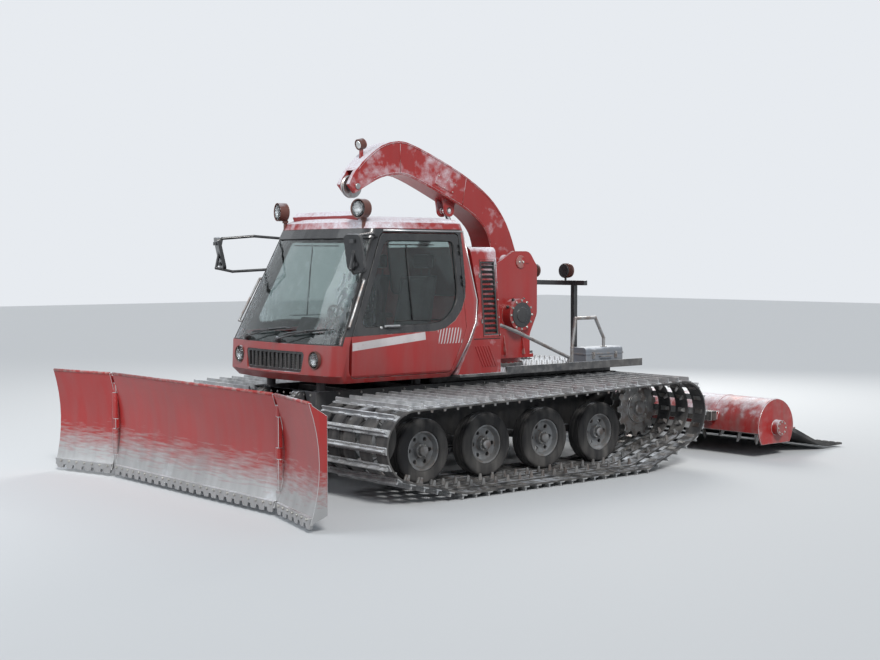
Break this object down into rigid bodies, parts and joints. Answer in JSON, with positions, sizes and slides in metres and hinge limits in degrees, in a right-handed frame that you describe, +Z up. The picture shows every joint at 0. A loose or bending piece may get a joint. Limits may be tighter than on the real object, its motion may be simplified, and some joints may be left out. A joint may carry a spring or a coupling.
{
  "type": "tracked snow groomer with winch",
  "caption": "Tracked snow grooming machine with a forward cab, slewing rope winch with a boom over the roof, winged front blade and rear tiller.",
  "frame": {"origin": "on the snow under the middle of the machine's outer box", "axes": "+X forward, +Y to the machine's left, +Z up"},
  "size_m": [8.8632, 5.2554, 3.833],
  "materials": {
    "red_paint": "weathered gloss red paint, frost and road film",
    "dark_paint": "satin dark grey paint",
    "black_frame": "satin black powder coat",
    "tyre_rubber": "matt black rubber",
    "belt_rubber": "rubber belts with worn aluminium cross bars",
    "worn_steel": "worn bare steel",
    "chrome_rod": "hard chrome",
    "rim_paint": "grey painted rims",
    "window_glass": "clear tinted glass",
    "lamp_lens": "ribbed lamp lenses in brown housings",
    "beacon_blue": "blue translucent dome",
    "cabin_plastic": "grained dark plastic",
    "seat_cloth": "dark woven seat cloth",
    "hood_paint": "red paint, scratched",
    "comb_plastic": "black tough plastic",
    "box_paint": "grey blue paint",
    "engine_iron": "painted cast iron"
  },
  "bodies": {
    "chassis": {"hull": "dark_paint", "engine_block": "engine_iron", "axles": "black_frame", "wheel_rims": "rim_paint", "tyres": "tyre_rubber", "sprockets": "worn_steel", "track_left": "belt_rubber", "track_right": "belt_rubber", "cab_body": "red_paint", "cab_frame": "black_frame", "roof_panel": "red_paint", "cab_glass": "window_glass", "dashboard": "cabin_plastic", "seat_frames": "cabin_plastic", "seat_pads": "seat_cloth", "steering_wheel": "cabin_plastic", "front_grille": "black_frame", "lamps": "lamp_lens", "beacon": "beacon_blue", "mirrors": "black_frame", "cooling_box": "red_paint", "cooler_grilles": "black_frame", "exhaust": "worn_steel", "platform": "dark_paint", "side_boxes": "box_paint", "rear_rack": "black_frame", "grab_rails": "worn_steel"},
    "door_left": {"door_left_frame": "black_frame", "door_left_panel": "red_paint", "door_left_glass": "window_glass"},
    "door_right": {"door_right_frame": "black_frame", "door_right_panel": "red_paint", "door_right_glass": "window_glass"},
    "winch": {"winch_turret": "red_paint"},
    "drum": {"winch_drum": "worn_steel"},
    "boom": {"boom": "red_paint"},
    "sheave": {"boom_sheave": "worn_steel"},
    "boom_ram": {"boom_ram_barrel": "black_frame"},
    "boom_rod": {"boom_ram_rod": "chrome_rod"},
    "push_frame": {"push_frame": "black_frame"},
    "swing_carrier": {"swing_carrier": "black_frame"},
    "blade": {"blade": "hood_paint"},
    "wing_left": {"wing_left": "hood_paint"},
    "wing_right": {"wing_right": "hood_paint"},
    "blade_rams": {"blade_ram_barrels": "black_frame"},
    "blade_rods": {"blade_ram_rods": "chrome_rod"},
    "tiller": {"tiller_frame": "black_frame", "tiller_hood": "hood_paint", "finishing_comb": "comb_plastic"},
    "rotor": {"tiller_rotor": "worn_steel"},
    "tiller_rams": {"tiller_ram_barrels": "black_frame"},
    "tiller_rods": {"tiller_ram_rods": "chrome_rod"}
  },
  "joints": [
    {"name": "door_left_open", "type": "hinge", "parent": "chassis", "child": "door_left", "pos_m": [1.197, 1.06116, 1.56], "axis": [0, -0.1397, 0.9902], "range_deg": [0, 75]},
    {"name": "door_right_open", "type": "hinge", "parent": "chassis", "child": "door_right", "pos_m": [1.197, -1.06116, 1.56], "axis": [0, -0.1397, -0.9902], "range_deg": [0, 75]},
    {"name": "winch_slew", "type": "hinge", "parent": "chassis", "child": "winch", "pos_m": [-0.05, 0, 1.24], "axis": [0, 0, 1], "continuous": true},
    {"name": "drum_spin", "type": "hinge", "parent": "winch", "child": "drum", "pos_m": [-0.05, 0, 1.8], "axis": [0, 1, 0], "continuous": true},
    {"name": "boom_lift", "type": "hinge", "parent": "winch", "child": "boom", "pos_m": [-0.16, 0, 2.43], "axis": [0, -1, 0], "range_deg": [0, 25]},
    {"name": "sheave_spin", "type": "hinge", "parent": "boom", "child": "sheave", "pos_m": [2.03, 0, 3.28], "axis": [0, 1, 0], "continuous": true},
    {"name": "boom_ram_swing", "type": "hinge", "parent": "winch", "child": "boom_ram", "pos_m": [0.24, 0, 2.215], "axis": [0, -1, 0], "range_deg": [-1, 23.69]},
    {"name": "boom_ram_extend", "type": "slide", "parent": "boom_ram", "child": "boom_rod", "axis": [0.4363, 0, 0.8998], "range_m": [-0.002, 0.1947]},
    {"name": "blade_lift", "type": "hinge", "parent": "chassis", "child": "push_frame", "pos_m": [3.01, 0, 0.62], "axis": [0, -1, 0], "range_deg": [-4, 25]},
    {"name": "blade_swing", "type": "hinge", "parent": "push_frame", "child": "swing_carrier", "pos_m": [3.7, 0, 0.6], "axis": [0, 0, 1], "range_deg": [-15, 15]},
    {"name": "blade_tilt", "type": "hinge", "parent": "swing_carrier", "child": "blade", "pos_m": [3.88, 0, 0.6], "axis": [1, 0, 0], "range_deg": [-8, 8]},
    {"name": "wing_left_fold", "type": "hinge", "parent": "blade", "child": "wing_left", "pos_m": [4.12, 1.65, 0.6], "axis": [0, 0, -1], "range_deg": [-15, 25]},
    {"name": "wing_right_fold", "type": "hinge", "parent": "blade", "child": "wing_right", "pos_m": [4.12, -1.65, 0.6], "axis": [0, 0, 1], "range_deg": [-15, 25]},
    {"name": "blade_ram_swing", "type": "hinge", "parent": "chassis", "child": "blade_rams", "pos_m": [3.01, 0, 1], "axis": [0, -1, 0], "range_deg": [-3.58, 17.12]},
    {"name": "blade_ram_extend", "type": "slide", "parent": "blade_rams", "child": "blade_rods", "axis": [0.8102, 0, -0.5861], "range_m": [-0.1462, 0.0251]},
    {"name": "tiller_lift", "type": "hinge", "parent": "chassis", "child": "tiller", "pos_m": [-1.76, 0, 0.62], "axis": [0, 1, 0], "range_deg": [0, 20]},
    {"name": "rotor_spin", "type": "hinge", "parent": "tiller", "child": "rotor", "pos_m": [-2.95, 0, 0.37], "axis": [0, 1, 0], "continuous": true},
    {"name": "tiller_ram_swing", "type": "hinge", "parent": "chassis", "child": "tiller_rams", "pos_m": [-1.77, 0, 0.99], "axis": [0, 1, 0], "range_deg": [-1, 15.51]},
    {"name": "tiller_ram_extend", "type": "slide", "parent": "tiller_rams", "child": "tiller_rods", "axis": [-0.8345, 0, -0.5511], "range_m": [-0.1179, 0.002]}
  ],
  "couplings": [
    {"joint": "boom_ram_swing", "follows": "boom_lift", "ratio": 0.9075},
    {"joint": "boom_ram_extend", "follows": "boom_lift", "m_per_rad": 0.4417},
    {"joint": "blade_ram_swing", "follows": "blade_lift", "ratio": 0.645},
    {"joint": "blade_ram_extend", "follows": "blade_lift", "m_per_rad": -0.33058},
    {"joint": "tiller_ram_swing", "follows": "tiller_lift", "ratio": 0.7256},
    {"joint": "tiller_ram_extend", "follows": "tiller_lift", "m_per_rad": -0.33211}
  ]
}
